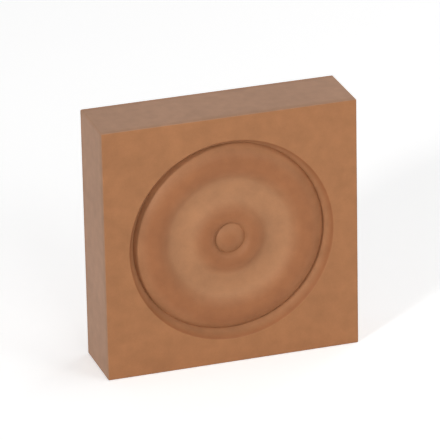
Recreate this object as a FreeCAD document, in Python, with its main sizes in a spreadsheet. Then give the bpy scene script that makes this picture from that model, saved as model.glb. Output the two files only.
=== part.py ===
"""Corner rosette block: a square trim block with a bullseye rosette turned into its face.

The block is fixed to a wall where two casings meet. The origin is the centre of its back face, +Z is up and
the face looks along -Y. Sizes are millimetres, and depths run from the face into the block.
"""

import FreeCAD, Part

import math
import os
from typing import NamedTuple

import Sketcher

NODE = "rosette_block"

# Driving dimensions, each under its alias in the sheet
DIMENSIONS = {
    # Blank
    "face_width": 95.25,
    "face_height": 95.25,
    "block_thickness": 25.4,
    "arris_easing": 0.5,
    # Recess: its rim on the face, and the wall that runs in and down to the groove
    "rim_diameter": 76.7,
    "rim_chamfer": 0.2,
    "wall_run": 2.6,
    "groove_depth": 4.6,
    # Ring: the high circle of the large bead, and the circle where its inner side turns hollow
    "ring_diameter": 57.7,
    "ring_depth": 0.5,
    "ring_foot_diameter": 47.6,
    # Valley: the low circle of the hollow
    "valley_diameter": 37.3,
    "valley_depth": 3.7,
    # Collar: the high circle of the small bead, and the circle where its outer side turns hollow
    "collar_foot_diameter": 24.7,
    "collar_diameter": 17.3,
    "collar_depth": 0.75,
    # Button: the crease round it, and the top of its dome
    "button_diameter": 11.2,
    "crease_depth": 2.9,
    "button_depth": 0.8,
}

# Positions of a sketch element's points, as the sketcher numbers them
START, END, CENTRE = range(1, 4)
ORIGIN = (-1, START)


class CrownedArc(NamedTuple):
    """An arc of the section that starts level with the face, at its crown, and runs to its other end."""

    element: int
    crown: int
    foot: int


def add_sheet(doc):
    """Write the driving dimensions to a spreadsheet, one row each, with their aliases."""
    sheet = doc.addObject("Spreadsheet::Sheet", "dimensions")
    for row, (alias, value) in enumerate(DIMENSIONS.items(), start=1):
        sheet.set(f"A{row}", alias)
        sheet.set(f"B{row}", str(value))
        sheet.setAlias(f"B{row}", alias)
    doc.recompute()


def new_sketch(body, name, role):
    """Add a sketch on the body's origin plane that has the given role."""
    sketch = body.newObject("Sketcher::SketchObject", name)
    plane = next(item for item in body.Origin.OriginFeatures if item.Role == role)
    sketch.AttachmentSupport = [(plane, "")]
    sketch.MapMode = "FlatFace"
    return sketch


def constrain(sketch, kind, *arguments):
    """Add one geometric constraint to a sketch."""
    sketch.addConstraint(Sketcher.Constraint(kind, *arguments))


def bind(sketch, name, expression, kind, *arguments):
    """Add one named dimension to a sketch and bind it to an expression on the sheet."""
    index = sketch.addConstraint(Sketcher.Constraint(kind, *arguments))
    sketch.renameConstraint(index, name)
    sketch.setExpression(f"Constraints.{name}", expression)


def set_out(sketch, name, element, position, expression):
    """Bind a point's distance from the rosette's axis."""
    value = sketch.getPoint(element, position).x
    bind(sketch, f"{name}_out", expression, "DistanceX", *ORIGIN, element, position, value)


def set_down(sketch, name, element, position, expression):
    """Bind a point's depth below the face."""
    value = sketch.getPoint(element, position).y
    bind(sketch, f"{name}_down", expression, "DistanceY", *ORIGIN, element, position, value)


def add_blank(body):
    """Pad the square blank from the back face to the front face."""
    sketch = new_sketch(body, "blank_outline", "XZ_Plane")
    half_width = DIMENSIONS["face_width"] / 2
    half_height = DIMENSIONS["face_height"] / 2
    corners = [
        FreeCAD.Vector(-half_width, -half_height),
        FreeCAD.Vector(half_width, -half_height),
        FreeCAD.Vector(half_width, half_height),
        FreeCAD.Vector(-half_width, half_height),
    ]
    following = corners[1:] + corners[:1]
    sides = [sketch.addGeometry(Part.LineSegment(*ends)) for ends in zip(corners, following)]
    bottom, right, top, left = sides
    for side, after in zip(sides, sides[1:] + sides[:1]):
        constrain(sketch, "Coincident", side, END, after, START)
    for side in (bottom, top):
        constrain(sketch, "Horizontal", side)
    for side in (left, right):
        constrain(sketch, "Vertical", side)
    constrain(sketch, "Symmetric", bottom, START, right, END, *ORIGIN)
    bind(sketch, "width", "dimensions.face_width", "DistanceX", bottom, START, bottom, END, 2 * half_width)
    bind(sketch, "height", "dimensions.face_height", "DistanceY", right, START, right, END, 2 * half_height)

    blank = body.newObject("PartDesign::Pad", "blank")
    blank.Profile = sketch
    blank.setExpression("Length", "dimensions.block_thickness")
    return blank


def ease_edges(body, name, base, is_wanted, kind, measure, alias):
    """Fillet or chamfer the base feature's edges that pass the test, by the measure in the named cell."""
    edges = [f"Edge{number}" for number, edge in enumerate(base.Shape.Edges, start=1) if is_wanted(edge)]
    easing = body.newObject(f"PartDesign::{kind}", name)
    easing.Base = (base, edges)
    easing.setExpression(measure, f"dimensions.{alias}")
    return easing


def is_off_the_wall(edge):
    """Tell whether an edge leaves the back face or lies clear of it."""
    return min(vertex.Y for vertex in edge.Vertexes) < -DIMENSIONS["arris_easing"]


def is_rim(edge):
    """Tell whether an edge has both its ends on the circle in which the recess meets the face."""
    half = DIMENSIONS["rim_diameter"] / 2
    off = [abs(math.hypot(vertex.X, vertex.Z) - half) for vertex in edge.Vertexes]
    return max(off) < DIMENSIONS["rim_chamfer"]


def add_crowned_arc(sketch, crown, foot):
    """Add the arc that is level with the face at its crown and passes through its foot."""
    run = foot.x - crown.x
    drop = foot.y - crown.y
    radius = (run * run + drop * drop) / (2 * drop)
    centre = FreeCAD.Vector(crown.x, crown.y + radius)
    circle = Part.Circle(centre, FreeCAD.Vector(0, 0, 1), abs(radius))
    if run * radius > 0:
        arc = Part.ArcOfCircle(circle, circle.parameter(crown), circle.parameter(foot))
        crown_end, foot_end = START, END
    else:
        arc = Part.ArcOfCircle(circle, circle.parameter(foot), circle.parameter(crown))
        crown_end, foot_end = END, START
    element = sketch.addGeometry(arc)
    constrain(sketch, "Vertical", element, crown_end, element, CENTRE)
    return CrownedArc(element, crown_end, foot_end)


def between(first, second, out):
    """Point of the straight line from the first point to the second that lies at the given radius."""
    return first + (second - first) * ((out - first.x) / (second.x - first.x))


def add_rosette(body):
    """Turn the rosette into the face: one section, revolved about the block's axis.

    From the rim inwards the section is the sloping wall, the groove, the convex ring, the hollow valley, the
    convex collar, the crease and the domed button. Each arc is level with the face at its crown, so
    neighbours that share a crown run smoothly into each other. A bead's foot lies on the line between its own
    crown and the valley's, where the two arcs have one tangent.
    """
    sketch = new_sketch(body, "rosette_section", "XY_Plane")
    sketch.setExpression("AttachmentOffset.Base.y", "-dimensions.block_thickness")

    size = DIMENSIONS
    middle = FreeCAD.Vector(0, 0)
    rim = FreeCAD.Vector(size["rim_diameter"] / 2, 0)
    groove = FreeCAD.Vector(rim.x - size["wall_run"], size["groove_depth"])
    ring = FreeCAD.Vector(size["ring_diameter"] / 2, size["ring_depth"])
    valley = FreeCAD.Vector(size["valley_diameter"] / 2, size["valley_depth"])
    collar = FreeCAD.Vector(size["collar_diameter"] / 2, size["collar_depth"])
    crease = FreeCAD.Vector(size["button_diameter"] / 2, size["crease_depth"])
    button = FreeCAD.Vector(0, size["button_depth"])
    ring_foot = between(ring, valley, size["ring_foot_diameter"] / 2)
    collar_foot = between(collar, valley, size["collar_foot_diameter"] / 2)

    ring_outside = add_crowned_arc(sketch, ring, groove)
    ring_inside = add_crowned_arc(sketch, ring, ring_foot)
    valley_outside = add_crowned_arc(sketch, valley, ring_foot)
    valley_inside = add_crowned_arc(sketch, valley, collar_foot)
    collar_outside = add_crowned_arc(sketch, collar, collar_foot)
    collar_inside = add_crowned_arc(sketch, collar, crease)
    dome = add_crowned_arc(sketch, button, crease)
    wall = sketch.addGeometry(Part.LineSegment(groove, rim))
    face = sketch.addGeometry(Part.LineSegment(rim, middle))
    axis = sketch.addGeometry(Part.LineSegment(middle, button))

    # Straight sides: the face, and the axis of the turning
    constrain(sketch, "Coincident", wall, END, face, START)
    constrain(sketch, "Coincident", face, END, *ORIGIN)
    constrain(sketch, "Coincident", axis, START, *ORIGIN)
    constrain(sketch, "Horizontal", face)
    constrain(sketch, "Vertical", axis)

    # Joints of the arcs: corners at the groove and the crease, shared crowns, and tangent feet
    constrain(sketch, "Coincident", ring_outside.element, ring_outside.foot, wall, START)
    constrain(sketch, "Coincident", dome.element, dome.foot, collar_inside.element, collar_inside.foot)
    constrain(sketch, "Coincident", dome.element, dome.crown, axis, END)
    for outer, inner in (
        (ring_outside, ring_inside),
        (valley_outside, valley_inside),
        (collar_outside, collar_inside),
    ):
        constrain(sketch, "Coincident", outer.element, outer.crown, inner.element, inner.crown)
    for bead, hollow in ((ring_inside, valley_outside), (collar_outside, valley_inside)):
        constrain(sketch, "Tangent", bead.element, bead.foot, hollow.element, hollow.foot)

    # Sizes of the section
    groove_out = "dimensions.rim_diameter / 2 - dimensions.wall_run"
    set_out(sketch, "rim", wall, END, "dimensions.rim_diameter / 2")
    set_out(sketch, "groove", wall, START, groove_out)
    set_down(sketch, "groove", wall, START, "dimensions.groove_depth")
    for name, arc in (("ring", ring_inside), ("valley", valley_inside), ("collar", collar_inside)):
        set_out(sketch, name, arc.element, arc.crown, f"dimensions.{name}_diameter / 2")
        set_down(sketch, name, arc.element, arc.crown, f"dimensions.{name}_depth")
    for name, arc in (("ring_foot", ring_inside), ("collar_foot", collar_outside)):
        set_out(sketch, name, arc.element, arc.foot, f"dimensions.{name}_diameter / 2")
    set_out(sketch, "crease", dome.element, dome.foot, "dimensions.button_diameter / 2")
    set_down(sketch, "crease", dome.element, dome.foot, "dimensions.crease_depth")
    set_down(sketch, "button", dome.element, dome.crown, "dimensions.button_depth")

    rosette = body.newObject("PartDesign::Groove", "rosette")
    rosette.Profile = sketch
    rosette.ReferenceAxis = (sketch, ["V_Axis"])
    rosette.Angle = 360
    return rosette


def check(doc, body, before, rosette):
    """Stop if a feature failed, the block isn't one valid solid, or the rosette removed nothing."""
    for item in doc.Objects:
        if "Invalid" in item.State or "Error" in item.State:
            raise RuntimeError(f"{item.Label} failed: {item.State}")
    shape = body.Shape
    if shape.isNull() or not shape.isValid() or len(shape.Solids) != 1:
        raise RuntimeError(f"{body.Label} is not one valid solid")
    if rosette.Shape.Volume >= before.Shape.Volume:
        raise RuntimeError("the rosette cut nothing from the block")


def main():
    """Build the document, check it and write the block."""
    os.makedirs("parts", exist_ok=True)
    doc = FreeCAD.newDocument("corner_rosette_block")
    add_sheet(doc)
    body = doc.addObject("PartDesign::Body", "block")
    body.Label = NODE
    body.Placement = FreeCAD.Placement()
    blank = add_blank(body)
    doc.recompute()
    eased_blank = ease_edges(body, "eased_blank", blank, is_off_the_wall, "Fillet", "Radius", "arris_easing")
    doc.recompute()
    rosette = add_rosette(body)
    doc.recompute()
    eased_rim = ease_edges(body, "eased_rim", rosette, is_rim, "Chamfer", "Size", "rim_chamfer")
    body.Tip = eased_rim
    doc.recompute()
    check(doc, body, eased_blank, rosette)
    body.Shape.exportStep(f"parts/{body.Label}.step")


main()
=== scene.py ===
"""Corner rosette block: the dressed part in a plain studio, seen from the photograph's angle.

The frame is the part's own. Its origin is the centre of the block's back face, +Z is up and the face
looks along -Y, so a depth below the face runs along +Y. Lengths are metres.
"""

import logging
import math
from dataclasses import dataclass
from enum import Enum
from typing import Any, Iterable, NamedTuple, Union

import bmesh
import bpy
from bmesh.types import BMEdge, BMesh, BMFace, BMVert
from mathutils import Matrix, Vector


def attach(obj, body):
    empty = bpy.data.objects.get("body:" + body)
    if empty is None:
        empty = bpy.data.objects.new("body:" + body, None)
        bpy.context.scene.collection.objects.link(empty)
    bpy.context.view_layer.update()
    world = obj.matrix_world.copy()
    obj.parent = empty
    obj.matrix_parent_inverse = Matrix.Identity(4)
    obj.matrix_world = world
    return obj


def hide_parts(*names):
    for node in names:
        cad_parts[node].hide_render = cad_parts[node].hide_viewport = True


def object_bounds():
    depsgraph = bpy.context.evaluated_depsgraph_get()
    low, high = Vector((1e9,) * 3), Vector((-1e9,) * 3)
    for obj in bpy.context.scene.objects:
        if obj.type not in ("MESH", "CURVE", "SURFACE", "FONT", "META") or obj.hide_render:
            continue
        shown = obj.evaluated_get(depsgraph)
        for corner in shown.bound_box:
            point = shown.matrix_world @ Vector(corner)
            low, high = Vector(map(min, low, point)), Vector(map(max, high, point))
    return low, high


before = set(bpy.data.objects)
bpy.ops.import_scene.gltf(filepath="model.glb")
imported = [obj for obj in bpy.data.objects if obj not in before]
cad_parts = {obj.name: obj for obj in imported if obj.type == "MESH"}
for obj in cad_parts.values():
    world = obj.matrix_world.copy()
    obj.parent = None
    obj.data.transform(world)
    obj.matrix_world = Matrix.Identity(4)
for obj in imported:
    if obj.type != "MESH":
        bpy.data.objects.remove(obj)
cad_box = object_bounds()

MM = 0.001

Colour = tuple[float, float, float, float]
Number = Union["Value", float]
Tint = Union["Value", Colour]

WHITE: Colour = (1.0, 1.0, 1.0, 1.0)
BLACK: Colour = (0.0, 0.0, 0.0, 1.0)

log = logging.getLogger("rosette_block")


class Surface(Enum):
    """A kind of surface on the block, named for the work that left it."""

    SANDED = "sanded"
    TURNED = "turned"
    SAWN = "sawn"


class Facing(Enum):
    """A side of the block, with the direction in which it looks."""

    FRONT = (0.0, -1.0, 0.0)
    LEFT = (-1.0, 0.0, 0.0)
    RIGHT = (1.0, 0.0, 0.0)
    TOP = (0.0, 0.0, 1.0)
    BOTTOM = (0.0, 0.0, -1.0)


class Value:
    """An output socket that takes part in Python arithmetic, where each operation adds a Math node."""

    def __init__(self, graph: "Graph", socket: bpy.types.NodeSocket | None) -> None:
        """Wrap an output socket of a graph, or nothing for a node that ends it."""
        self.graph = graph
        self.socket = socket

    def maths(self, operation: str, *terms: Number) -> "Value":
        """Add a Math node that takes this value first.

        Args:
            operation: The node's operation.
            terms: The other operands.

        Returns:
            The node's result.
        """
        return self.graph.add("ShaderNodeMath", {"operation": operation}, dict(enumerate((self, *terms))))

    def after(self, operation: str, first: Number) -> "Value":
        """Add a Math node that takes this value second.

        Args:
            operation: The node's operation.
            first: The first operand.

        Returns:
            The node's result.
        """
        return self.graph.add("ShaderNodeMath", {"operation": operation}, {0: first, 1: self})

    def __add__(self, other: Number) -> "Value":
        """Sum."""
        return self.maths("ADD", other)

    def __radd__(self, other: Number) -> "Value":
        """Sum, with this value second."""
        return self.after("ADD", other)

    def __sub__(self, other: Number) -> "Value":
        """Difference."""
        return self.maths("SUBTRACT", other)

    def __rsub__(self, other: Number) -> "Value":
        """Difference, with this value second."""
        return self.after("SUBTRACT", other)

    def __mul__(self, other: Number) -> "Value":
        """Product."""
        return self.maths("MULTIPLY", other)

    def __rmul__(self, other: Number) -> "Value":
        """Product, with this value second."""
        return self.after("MULTIPLY", other)

    def __truediv__(self, other: Number) -> "Value":
        """Quotient."""
        return self.maths("DIVIDE", other)

    def __abs__(self) -> "Value":
        """Size without sign."""
        return self.maths("ABSOLUTE")

    def at_least(self, other: Number) -> "Value":
        """The larger of two values."""
        return self.maths("MAXIMUM", other)

    def at_most(self, other: Number) -> "Value":
        """The smaller of two values."""
        return self.maths("MINIMUM", other)

    def rise(self, low: float, high: float) -> "Value":
        """Ease from 0, where this value is at its low, to 1 at its high.

        Args:
            low: Where the rise starts.
            high: Where it ends.

        Returns:
            The eased share.
        """
        sockets = {"Value": self, "From Min": low, "From Max": high}
        return self.graph.add("ShaderNodeMapRange", {"interpolation_type": "SMOOTHSTEP"}, sockets)

    def other(self, output: str) -> "Value":
        """Another output of the node that gives this value."""
        return Value(self.graph, self.socket.node.outputs[output])


class Graph:
    """The node tree of a material or a world."""

    def __init__(self, tree: bpy.types.NodeTree) -> None:
        """Take over a tree and empty it."""
        self.tree = tree
        self.tree.nodes.clear()

    def add(
        self,
        kind: str,
        settings: dict[str, Any] | None = None,
        sockets: dict[str | int, Any] | None = None,
        output: str | int = 0,
    ) -> Value:
        """Add a node.

        Args:
            kind: The node's type.
            settings: Its properties, which are set first. "stops" holds a ramp's places and colours.
            sockets: Values or links for its inputs, by name or number.
            output: The output that is wanted, by name or number.

        Returns:
            That output, or an empty value from a node that has none.
        """
        node = self.tree.nodes.new(kind)
        for name, setting in (settings or {}).items():
            if name == "stops":
                self.set_stops(node.color_ramp.elements, setting)
            else:
                setattr(node, name, setting)
        for name, given in (sockets or {}).items():
            if isinstance(given, Value):
                self.tree.links.new(given.socket, node.inputs[name])
            else:
                node.inputs[name].default_value = given
        return Value(self, node.outputs[output] if node.outputs else None)

    @staticmethod
    def set_stops(elements: bpy.types.ColorRampElements, stops: Iterable[tuple[float, Colour]]) -> None:
        """Give a ramp its stops.

        Args:
            elements: The ramp's elements, of which a new ramp has two.
            stops: Each stop's place from 0 to 1 and its colour, in order.
        """
        elements.remove(elements[-1])
        for index, (place, colour) in enumerate(stops):
            element = elements.new(place) if index else elements[0]
            element.position = place
            element.color = colour

    def mix(self, share: Number, first: Tint, second: Tint) -> Value:
        """Mix two colours.

        Args:
            share: How much of the second colour there is.
            first: The first colour.
            second: The second colour.

        Returns:
            The mixed colour.
        """
        return self.add("ShaderNodeMix", {"data_type": "RGBA"}, {0: share, 6: first, 7: second}, 2)

    def shade(self, colour: Value, level: Value) -> Value:
        """Make a colour lighter or darker by a factor."""
        return self.add("ShaderNodeVectorMath", {"operation": "SCALE"}, {0: colour, "Scale": level})

    def stretch(self, place: Value, scale: tuple[float, float, float]) -> Value:
        """Scale coordinates, so that a pattern on them is squeezed along each axis by its factor."""
        return self.add("ShaderNodeMapping", sockets={"Vector": place, "Scale": scale})

    def noise(self, place: Value, size: float, detail: float) -> Value:
        """Add a soft random pattern that runs both ways from 0.

        Args:
            place: The coordinates that it lies on.
            size: About how large its patches are.
            detail: How many finer patterns it carries.

        Returns:
            A value from about -0.3 to 0.3.
        """
        sockets = {"Vector": place, "Scale": 1.0 / size, "Detail": detail}
        return self.add("ShaderNodeTexNoise", sockets=sockets) - 0.5


@dataclass(frozen=True)
class BlockSizes:
    """Sizes of the square blank.

    Attributes:
        width: Width of the face.
        height: Height of the face.
        thickness: Thickness from the wall to the face.
        arris: Radius of the eased arrises.
    """

    width: float = 95.25 * MM
    height: float = 95.25 * MM
    thickness: float = 25.4 * MM
    arris: float = 0.5 * MM


class Arc(NamedTuple):
    """An arc of the section, which is level with the face at one of its ends.

    Attributes:
        start: Its end nearer to the axis, as a radius and a place along Y.
        end: Its end further from the axis.
        crown: Its level end, which is one of those two.
    """

    start: Vector
    end: Vector
    crown: Vector

    def centre(self) -> Vector:
        """Centre of the arc's circle, straight above or below its level end."""
        foot = self.end if self.crown == self.start else self.start
        chord = foot - self.crown
        return self.crown + Vector((0.0, chord.length_squared / (2.0 * chord.y), 0.0))

    def turn(self) -> float:
        """Angle from the arc's start to its end about its centre, positive from +X towards +Y."""
        before = self.start - self.centre()
        after = self.end - self.centre()
        return math.atan2(before.x * after.y - before.y * after.x, before.dot(after))


@dataclass(frozen=True)
class RosetteSection:
    """Section of the turned rosette: circles on its face and depths below the face.

    Attributes:
        rim_diameter: The rim on the face.
        rim_easing: Width of the rim's eased edge, on the face and on the wall.
        wall_run: How far the wall leans in on its way down to the groove.
        groove_depth: Depth of the groove.
        ring_diameter: High circle of the large bead.
        ring_depth: Depth of that circle.
        ring_foot_diameter: Circle where the large bead turns hollow.
        valley_diameter: Low circle of the hollow.
        valley_depth: Depth of that circle.
        collar_foot_diameter: Circle where the small bead turns hollow.
        collar_diameter: High circle of the small bead.
        collar_depth: Depth of that circle.
        button_diameter: The crease round the button.
        crease_depth: Depth of the crease.
        button_depth: Depth of the top of the button's dome.
    """

    rim_diameter: float = 76.7 * MM
    rim_easing: float = 0.2 * MM
    wall_run: float = 2.6 * MM
    groove_depth: float = 4.6 * MM
    ring_diameter: float = 57.7 * MM
    ring_depth: float = 0.5 * MM
    ring_foot_diameter: float = 47.6 * MM
    valley_diameter: float = 37.3 * MM
    valley_depth: float = 3.7 * MM
    collar_foot_diameter: float = 24.7 * MM
    collar_diameter: float = 17.3 * MM
    collar_depth: float = 0.75 * MM
    button_diameter: float = 11.2 * MM
    crease_depth: float = 2.9 * MM
    button_depth: float = 0.8 * MM

    @staticmethod
    def between(first: Vector, second: Vector, radius: float) -> Vector:
        """Point at a radius on the straight line from the first point to the second."""
        return first.lerp(second, (radius - first.x) / (second.x - first.x))

    def rim(self, face: float) -> Vector:
        """Point of the rim, where face is the face's place along Y."""
        return Vector((self.rim_diameter / 2, face, 0.0))

    def arcs(self, face: float) -> list[Arc]:
        """List the arcs of the section from the axis out to the groove.

        Args:
            face: The face's place along Y.

        Returns:
            The arcs in order, each starting where the one before it ends.
        """
        button = Vector((0.0, face + self.button_depth, 0.0))
        crease = Vector((self.button_diameter / 2, face + self.crease_depth, 0.0))
        collar = Vector((self.collar_diameter / 2, face + self.collar_depth, 0.0))
        valley = Vector((self.valley_diameter / 2, face + self.valley_depth, 0.0))
        ring = Vector((self.ring_diameter / 2, face + self.ring_depth, 0.0))
        groove = Vector((self.rim_diameter / 2 - self.wall_run, face + self.groove_depth, 0.0))
        collar_foot = self.between(collar, valley, self.collar_foot_diameter / 2)
        ring_foot = self.between(ring, valley, self.ring_foot_diameter / 2)
        return [
            Arc(button, crease, button),
            Arc(crease, collar, collar),
            Arc(collar, collar_foot, collar),
            Arc(collar_foot, valley, valley),
            Arc(valley, ring_foot, valley),
            Arc(ring_foot, ring, ring),
            Arc(ring, groove, ring),
        ]


@dataclass(frozen=True)
class Fibreboard:
    """Bare medium-density fibreboard, pressed darker towards its faces than in its core.

    Attributes:
        face_tone: Colour of the sanded face.
        skin_tone: Colour just under the face, where the cutter opens it.
        core_tone: Colour of the core, as the cutter leaves it.
        edge_tone_and_sheen: Colour of the core on the sawn edges: partly their own paler colour, partly
            painted sheen, the grey reflection that an edge shows when seen side-on.
        edge_skin_tone_and_sheen: Colour of the sawn edges beside a face, with the same painted sheen.
        refraction: Index of refraction of its fibre and resin.
        gloss: Level of the mirror-like part of its reflection, which is weak on bare fibre.
        core_depth: Depth from a face at which the board is all core.
        skin_end: Share of that depth down to which the skin's colour holds.
        skin_blend: Share of it at which skin and core are mixed evenly.
        core_start: Share of it from which the core's colour holds.
        layer_drift: How far the layers' depth drifts from place to place.
        face_film: Depth within which a surface counts as the face.
        cloud_size: Size of the faint clouds in the colour.
        cloud_strength: How much the clouds change it.
        mottle_size: Size of the mottle within the clouds.
        mottle_strength: How much the mottle changes the colour.
        fibre_size: Size of the fibres that show.
        fibre_flatness: How many times flatter they lie through the board than along it.
        fibre_strength: How much the fibres change the colour.
        fibre_roughness: How much they change the roughness.
        fibre_relief: Height of the fibres.
        tool_pitch: Distance between the cutter's rings in the recess.
        tool_relief: Height of those rings.
        tool_wander: How far those rings wander from true circles.
        saw_pitch: Distance between the saw's marks on the edges.
        saw_stroke: How many times longer than that distance a mark is.
        saw_relief: Height of those marks.
    """

    face_tone: Colour = (0.404, 0.176, 0.0735, 1.0)
    skin_tone: Colour = (0.360, 0.1425, 0.058, 1.0)
    core_tone: Colour = (0.443, 0.2125, 0.101, 1.0)
    # The two edge tones are paler and greyer than the cut board partly through painted sheen, the grey
    # reflection of an edge seen side-on
    edge_tone_and_sheen: Colour = (0.420, 0.2405, 0.153, 1.0)
    edge_skin_tone_and_sheen: Colour = (0.389, 0.2125, 0.1255, 1.0)
    refraction: float = 1.47
    gloss: float = 0.25
    core_depth: float = 3.4 * MM
    skin_end: float = 0.2
    skin_blend: float = 0.55
    core_start: float = 0.88
    layer_drift: float = 1.0 * MM
    face_film: float = 0.12 * MM
    cloud_size: float = 13.0 * MM
    cloud_strength: float = 0.24
    mottle_size: float = 4.0 * MM
    mottle_strength: float = 0.25
    fibre_size: float = 0.7 * MM
    fibre_flatness: float = 3.0
    fibre_strength: float = 0.12
    fibre_roughness: float = 0.12
    fibre_relief: float = 0.012 * MM
    tool_pitch: float = 0.7 * MM
    tool_relief: float = 0.006 * MM
    tool_wander: float = 0.3 * MM
    saw_pitch: float = 1.1 * MM
    saw_stroke: float = 25.0
    saw_relief: float = 0.02 * MM

    @staticmethod
    def roughness(surface: Surface) -> float:
        """How rough each kind of surface is."""
        return {Surface.SANDED: 0.50, Surface.TURNED: 0.56, Surface.SAWN: 0.62}[surface]

    def material(self, name: str, sizes: BlockSizes) -> bpy.types.Material:
        """Make the material of a block that is cut from this board.

        Args:
            name: The material's name.
            sizes: The block's sizes, which say where its faces and edges are.

        Returns:
            The material.
        """
        material = bpy.data.materials.new(name)
        material.use_nodes = True
        graph = Graph(material.node_tree)

        # Places on the block: depth from its nearer face, and reach from its middle towards its edges
        place = graph.add("ShaderNodeTexCoord", output="Object")
        along_x = graph.add("ShaderNodeSeparateXYZ", sockets={0: place}, output="X")
        along_y = along_x.other("Y")
        along_z = along_x.other("Z")
        depth = (along_y + sizes.thickness).at_most(0.0 - along_y)
        reach = abs(along_x).at_least(abs(along_z))
        half = min(sizes.width, sizes.height) / 2

        # Kinds of surface, each with a mask
        sanded = 1.0 - depth.rise(0.0, self.face_film)
        sawn = reach.rise(half - sizes.arris, half - sizes.arris / 4) * (1.0 - sanded)
        turned = (1.0 - sanded) * (1.0 - sawn)

        # Colour: the layers, the sanded face over them, and faint clouds, mottle and fibres
        patches = graph.noise(place, self.cloud_size, detail=1.0)
        layer = (depth + patches * self.layer_drift) / self.core_depth
        cut = self.layers(graph, layer, self.skin_tone, self.core_tone)
        # Sawn edges: their own paler colour with a painted sheen, the grey side-on reflection, mixed into it
        edge = self.layers(graph, layer, self.edge_skin_tone_and_sheen, self.edge_tone_and_sheen)
        colour = graph.mix(sanded, graph.mix(sawn, cut, edge), self.face_tone)
        clouds = graph.noise(place, self.cloud_size, detail=2.0) * self.cloud_strength
        laid = graph.stretch(place, (1.0, self.fibre_flatness, 1.0))
        fibres = graph.noise(laid, self.fibre_size, detail=3.0)
        mottle = graph.noise(place, self.mottle_size, detail=2.0) * self.mottle_strength
        colour = graph.shade(colour, 1.0 + clouds + mottle + fibres * self.fibre_strength)

        # Roughness: the rougher surfaces, and the fibres on them
        rough = sanded * self.roughness(Surface.SANDED)
        rough = rough + turned * self.roughness(Surface.TURNED)
        rough = rough + sawn * self.roughness(Surface.SAWN) + fibres * self.fibre_roughness

        # Relief: fibres everywhere, the cutter's rings in the recess and the saw's marks on the edges
        radius = (along_x * along_x + along_z * along_z).maths("SQRT")
        turns = (radius + patches * self.tool_wander) / self.tool_pitch
        rings = (turns * math.tau).maths("SINE") * self.tool_relief
        along_saw = graph.stretch(place, (1.0, 1.0 / self.saw_stroke, 1.0))
        strokes = graph.noise(along_saw, self.saw_pitch, detail=1.0) * self.saw_relief
        height = fibres * self.fibre_relief + rings * turned + strokes * sawn
        normal = graph.add("ShaderNodeBump", sockets={"Distance": 1.0, "Height": height})

        sockets = {
            "Base Color": colour,
            "Roughness": rough,
            "IOR": self.refraction,
            "Specular IOR Level": self.gloss,
            "Normal": normal,
        }
        shader = graph.add("ShaderNodeBsdfPrincipled", sockets=sockets)
        graph.add("ShaderNodeOutputMaterial", sockets={"Surface": shader})
        return material

    def layers(self, graph: Graph, layer: Value, skin: Colour, core: Colour) -> Value:
        """Colour of the board's layers.

        Args:
            graph: The graph that gets the nodes.
            layer: Depth from the face, where 1 is the core.
            skin: The colour beside the face.
            core: The core's colour.

        Returns:
            The colour at that depth.
        """
        middle = tuple((above + below) / 2 for above, below in zip(skin, core))
        stops = [
            (0.0, skin),
            (self.skin_end, skin),
            (self.skin_blend, middle),
            (self.core_start, core),
            (1.0, core),
        ]
        return graph.add("ShaderNodeValToRGB", {"stops": stops}, {"Fac": layer})


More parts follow.
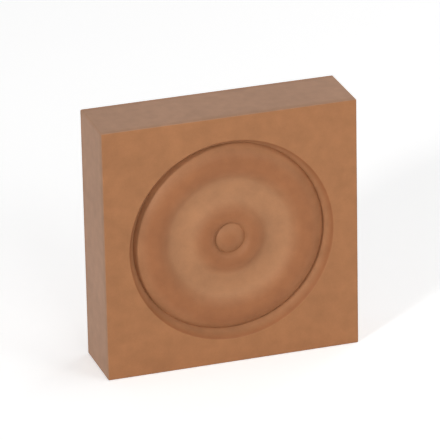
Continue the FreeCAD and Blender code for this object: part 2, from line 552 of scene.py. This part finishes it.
@dataclass(frozen=True)
class RosetteBlock:
    """The block: a square blank with a rosette turned into its face.

    Attributes:
        sizes: Sizes of the blank.
        section: Section of the rosette.
        finish: The board that it is cut from.
        node: Name of the part's solid that this piece stands for.
        turn_steps: Faces round the rosette, of which each side of the square takes a quarter.
        arc_step: Length of a face along the section.
        tolerance: Distance within which a point counts as being on a line or at another point.
        arris_segments: Faces across an eased arris.
        rim_segments: Faces across the eased rim.
        sharp_angle: Angle between two faces, in degrees, past which their edge is shaded sharp.
        margin: Width of the flat strips that keep the eased edges' shading off the flats.
    """

    sizes: BlockSizes = BlockSizes()
    section: RosetteSection = RosetteSection()
    finish: Fibreboard = Fibreboard()
    node: str = "rosette_block"
    turn_steps: int = 256
    arc_step: float = 0.3 * MM
    tolerance: float = 0.0375 * MM
    arris_segments: int = 4
    rim_segments: int = 3
    sharp_angle: float = 32.0
    margin: float = 0.6 * MM

    def build(self) -> bpy.types.Object:
        """Model the block, dress it and put it on the frame.

        Returns:
            The finished piece.
        """
        mesh = bmesh.new()
        opening = self.cut_blank(mesh)
        blank = set(mesh.verts)
        rim, collar = self.turn_rosette(mesh)
        rosette = [vertex for vertex in mesh.verts if vertex not in blank]
        self.let_in(mesh, rosette, opening + collar)
        self.ease_rim(mesh, rim)
        bmesh.ops.recalc_face_normals(mesh, faces=mesh.faces)
        for face in mesh.faces:
            face.smooth = True
        data = bpy.data.meshes.new("block")
        mesh.to_mesh(data)
        mesh.free()
        data.set_sharp_from_angle(angle=math.radians(self.sharp_angle))
        data.materials.append(self.finish.material("fibreboard", self.sizes))

        piece = bpy.data.objects.new("block", data)
        bpy.context.scene.collection.objects.link(piece)
        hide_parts(self.node)
        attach(piece, "root")
        return piece

    def cut_blank(self, mesh: BMesh) -> list[BMEdge]:
        """Make the square blank, with eased arrises and an opening in its face.

        Args:
            mesh: The mesh that gets the blank.

        Returns:
            The edges of the square opening.
        """
        sizes = self.sizes
        box = bmesh.ops.create_cube(mesh, size=1.0)["verts"]
        bmesh.ops.scale(mesh, vec=(sizes.width, sizes.thickness, sizes.height), verts=box)
        bmesh.ops.translate(mesh, vec=(0.0, -sizes.thickness / 2, 0.0), verts=box)
        arrises = [edge for edge in mesh.edges if min(vertex.co.y for vertex in edge.verts) < -sizes.arris]
        bmesh.ops.bevel(
            mesh,
            geom=arrises,
            offset=sizes.arris,
            offset_type="OFFSET",
            affect="EDGES",
            segments=self.arris_segments,
            profile=0.5,
            material=-1,
        )
        flats = [self.flat(mesh, facing) for facing in Facing]
        bmesh.ops.inset_individual(mesh, faces=flats, thickness=self.margin, use_even_offset=True)
        front = self.flat(mesh, Facing.FRONT)
        sides = list(front.edges)
        bmesh.ops.delete(mesh, geom=[front], context="FACES_ONLY")
        bmesh.ops.subdivide_edges(mesh, edges=sides, cuts=self.turn_steps // 4 - 1)
        return [edge for edge in mesh.edges if edge.is_boundary]

    @staticmethod
    def flat(mesh: BMesh, facing: Facing) -> BMFace:
        """Find the largest face that looks straight the given way."""
        straight = 0.999
        direction = Vector(facing.value)
        mesh.normal_update()
        faces = [face for face in mesh.faces if face.normal.dot(direction) > straight]
        return max(faces, key=lambda face: face.calc_area())

    def turn_rosette(self, mesh: BMesh) -> tuple[list[BMEdge], list[BMEdge]]:
        """Trace the section from the axis to the rim, turn it, and add a flat collar of face round the rim.

        Args:
            mesh: The mesh that gets the rosette.

        Returns:
            The rim's edges, and the collar's outer edges.
        """
        face = -self.sizes.thickness
        arcs = self.section.arcs(face)
        point = mesh.verts.new(arcs[0].start)
        for arc in arcs:
            steps = math.ceil(abs(arc.turn()) * (arc.end - arc.centre()).length / self.arc_step)
            spun = bmesh.ops.spin(
                mesh, geom=[point], cent=arc.centre(), axis=(0.0, 0.0, 1.0), angle=arc.turn(), steps=steps
            )
            point = next(item for item in spun["geom_last"] if isinstance(item, BMVert))
        rim = self.section.rim(face)
        wall = bmesh.ops.extrude_vert_indiv(mesh, verts=[point])
        bmesh.ops.translate(mesh, vec=rim - point.co, verts=wall["verts"])

        trace: list[BMVert | BMEdge] = [edge for edge in mesh.edges if not edge.link_faces]
        trace += list(dict.fromkeys(vertex for edge in trace for vertex in edge.verts))
        bmesh.ops.spin(
            mesh,
            geom=trace,
            cent=(0.0, 0.0, 0.0),
            axis=(0.0, 1.0, 0.0),
            angle=math.tau,
            steps=self.turn_steps,
            use_merge=True,
        )
        pole = [vertex for vertex in mesh.verts if math.hypot(vertex.co.x, vertex.co.z) < self.tolerance]
        bmesh.ops.remove_doubles(mesh, verts=pole, dist=self.tolerance)

        rim_edges = [edge for edge in mesh.edges if self.lies_on_rim(edge)]
        grown = bmesh.ops.extrude_edge_only(mesh, edges=rim_edges)["geom"]
        growth = (rim.x + self.margin) / rim.x
        outer = [item for item in grown if isinstance(item, BMVert)]
        bmesh.ops.scale(mesh, vec=(growth, 1.0, growth), verts=outer)
        collar = [item for item in grown if isinstance(item, BMEdge) and not self.lies_on_rim(item)]
        return rim_edges, collar

    def let_in(self, mesh: BMesh, rosette: list[BMVert], loops: list[BMEdge]) -> None:
        """Join the rosette to the opening in the face.

        Two loops in one plane and round one centre give the bridge no direction to follow, so the
        rosette is held off the face while they are joined.

        Args:
            mesh: The block's mesh.
            rosette: The rosette's vertices.
            loops: The edges of the opening and of the rosette's outside.
        """
        off = Vector((0.0, -self.sizes.thickness, 0.0))
        bmesh.ops.translate(mesh, vec=off, verts=rosette)
        bmesh.ops.bridge_loops(mesh, edges=loops)
        bmesh.ops.translate(mesh, vec=-off, verts=rosette)

    def lies_on_rim(self, edge: BMEdge) -> bool:
        """Tell whether an edge is part of the rim's circle."""
        radius = self.section.rim_diameter / 2
        reach = [math.hypot(vertex.co.x, vertex.co.z) for vertex in edge.verts]
        return all(abs(each - radius) < self.tolerance for each in reach)

    def ease_rim(self, mesh: BMesh, rim: list[BMEdge]) -> None:
        """Round the rim's edge.

        Args:
            mesh: The block's mesh.
            rim: The rim's edges.
        """
        bmesh.ops.bevel(
            mesh,
            geom=rim,
            offset=self.section.rim_easing,
            offset_type="OFFSET",
            affect="EDGES",
            segments=self.rim_segments,
            profile=0.5,
            material=-1,
        )


@dataclass(frozen=True)
class Softbox:
    """A soft lamp that faces the block.

    Attributes:
        name: The lamp's name.
        direction: Where it stands, as a direction from the block.
        distance: How far away it stands.
        size: Width of its square front.
        level: Share of a full light that a surface square to it gets from it.
    """

    name: str
    direction: tuple[float, float, float]
    distance: float
    size: float
    level: float

    def build(self, aim: Vector) -> bpy.types.Object:
        """Hang the lamp.

        Args:
            aim: The point that it faces.

        Returns:
            The lamp.
        """
        light = bpy.data.lights.new(self.name, "AREA")
        light.shape = "SQUARE"
        light.size = self.size
        light.energy = self.level * (math.pi * self.distance) ** 2
        lamp = bpy.data.objects.new(self.name, light)
        towards = Vector(self.direction).normalized()
        lamp.location = aim + towards * self.distance
        lamp.rotation_euler = towards.to_track_quat("Z", "Y").to_euler()
        lamp.visible_camera = False
        bpy.context.scene.collection.objects.link(lamp)
        return lamp


@dataclass(frozen=True)
class Studio:
    """A white sweep under even light, with a key lamp at the left, one overhead and three fills.

    Attributes:
        ambient: Level of the even light.
        floor_tone: Grey of the floor.
        floor_lift: White added to the floor where it is seen, so that it joins the background.
        floor_size: Width of the floor.
        floor_gap: Gap between the block and the floor, so that their faces don't lie in one plane.
        lamps: The soft lamps.
    """

    ambient: float = 0.31
    floor_tone: float = 0.9
    floor_lift: float = 0.385
    floor_size: float = 12.0
    floor_gap: float = 0.05 * MM
    lamps: tuple[Softbox, ...] = (
        Softbox("key", (-0.73, -0.57, 0.38), distance=3.0, size=0.375, level=0.39),
        Softbox("front_fill", (0.0, -0.87, 0.50), distance=1.2, size=0.35, level=0.115),
        Softbox("right_fill", (0.50, -0.74, 0.45), distance=0.6, size=0.175, level=0.145),
        Softbox("overhead", (0.22, -0.06, 0.97), distance=1.2, size=0.5, level=0.15),
        Softbox("back_fill", (0.80, 0.55, 0.16), distance=1.2, size=0.3, level=0.20),
    )

    @staticmethod
    def seen(graph: Graph) -> Value:
        """Mask of the rays that show things rather than light them: to the camera, in gloss and in glass."""
        path = graph.add("ShaderNodeLightPath", output="Is Camera Ray")
        return path.at_least(path.other("Is Glossy Ray")).at_least(path.other("Is Transmission Ray"))

    def build(self, low: Vector, high: Vector) -> list[bpy.types.Object]:
        """Set up the world, the floor and the lamps.

        Args:
            low: Lowest corner of the object.
            high: Highest corner of the object.

        Returns:
            The floor and the lamps.
        """
        self.light_world()
        middle = (low + high) / 2
        return [self.lay_floor(low.z - self.floor_gap)] + [lamp.build(middle) for lamp in self.lamps]

    def light_world(self) -> None:
        """Give the scene its even light and its white background."""
        world = bpy.data.worlds.new("studio")
        world.use_nodes = True
        graph = Graph(world.node_tree)
        strength = self.ambient + self.seen(graph) * (1.0 - self.ambient)
        light = graph.add("ShaderNodeBackground", sockets={"Color": WHITE, "Strength": strength})
        graph.add("ShaderNodeOutputWorld", sockets={"Surface": light})
        bpy.context.scene.world = world

    def lay_floor(self, level: float) -> bpy.types.Object:
        """Lay the floor.

        Args:
            level: Its height.

        Returns:
            The floor.
        """
        mesh = bmesh.new()
        grid = bmesh.ops.create_grid(mesh, x_segments=1, y_segments=1, size=self.floor_size / 2)
        bmesh.ops.translate(mesh, vec=(0.0, 0.0, level), verts=grid["verts"])
        data = bpy.data.meshes.new("floor")
        mesh.to_mesh(data)
        mesh.free()

        material = bpy.data.materials.new("floor_white")
        material.use_nodes = True
        graph = Graph(material.node_tree)
        lift: Colour = (self.floor_lift, self.floor_lift, self.floor_lift, 1.0)
        sockets = {
            "Base Color": (self.floor_tone, self.floor_tone, self.floor_tone, 1.0),
            "Roughness": 1.0,
            "Specular IOR Level": 0.0,
            "Emission Color": graph.mix(self.seen(graph), BLACK, lift),
            "Emission Strength": 1.0,
        }
        shader = graph.add("ShaderNodeBsdfPrincipled", sockets=sockets)
        graph.add("ShaderNodeOutputMaterial", sockets={"Surface": shader})
        data.materials.append(material)
        floor = bpy.data.objects.new("floor", data)
        bpy.context.scene.collection.objects.link(floor)
        return floor


@dataclass(frozen=True)
class PhotoCamera:
    """The photograph's camera: a long lens, a little above the block and to its left.

    Attributes:
        azimuth: How far it stands to the left of the block's axis, in degrees.
        elevation: How far it stands above the block, in degrees.
        roll: How far it is turned about its own axis, in degrees.
        distance: How far it is from the point it aims at.
        aim_right: How far that point lies to the right of the face's middle.
        aim_up: How far it lies above the face's middle.
        lens: Focal length in millimetres, on a sensor of the standard width.
    """

    azimuth: float = 17.66
    elevation: float = 22.90
    roll: float = -1.17
    distance: float = 1.6239
    aim_right: float = -4.43 * MM
    aim_up: float = 8.63 * MM
    lens: float = 372.6

    def build(self, face: float) -> bpy.types.Object:
        """Set up the camera and make it the scene's.

        Args:
            face: The face's place along Y.

        Returns:
            The camera.
        """
        azimuth = math.radians(self.azimuth)
        elevation = math.radians(self.elevation)
        level = math.cos(elevation)
        towards = Vector((-math.sin(azimuth) * level, -math.cos(azimuth) * level, math.sin(elevation)))
        turn = towards.to_track_quat("Z", "Y").to_matrix().to_4x4()
        aim = Vector((self.aim_right, face, self.aim_up))

        data = bpy.data.cameras.new("photo_camera")
        data.lens = self.lens
        camera = bpy.data.objects.new("photo_camera", data)
        roll = Matrix.Rotation(math.radians(self.roll), 4, "Z")
        camera.matrix_world = Matrix.Translation(aim + towards * self.distance) @ turn @ roll
        bpy.context.scene.collection.objects.link(camera)
        bpy.context.scene.camera = camera
        return camera


def main() -> None:
    """Build the block and its studio, and report each piece."""
    logging.basicConfig(level=logging.INFO, format="%(name)s: %(message)s")
    block = RosetteBlock()
    piece = block.build()
    log.info("%s stands for %s, with %d faces", piece.name, block.node, len(piece.data.polygons))
    for item in Studio().build(*cad_box):
        log.info("studio has its %s", item.name)
    camera = PhotoCamera().build(-block.sizes.thickness)
    log.info("camera stands at %s", [round(place, 4) for place in camera.location])
    bpy.context.scene.view_settings.view_transform = "Standard"


if __name__ == "__main__":
    main()
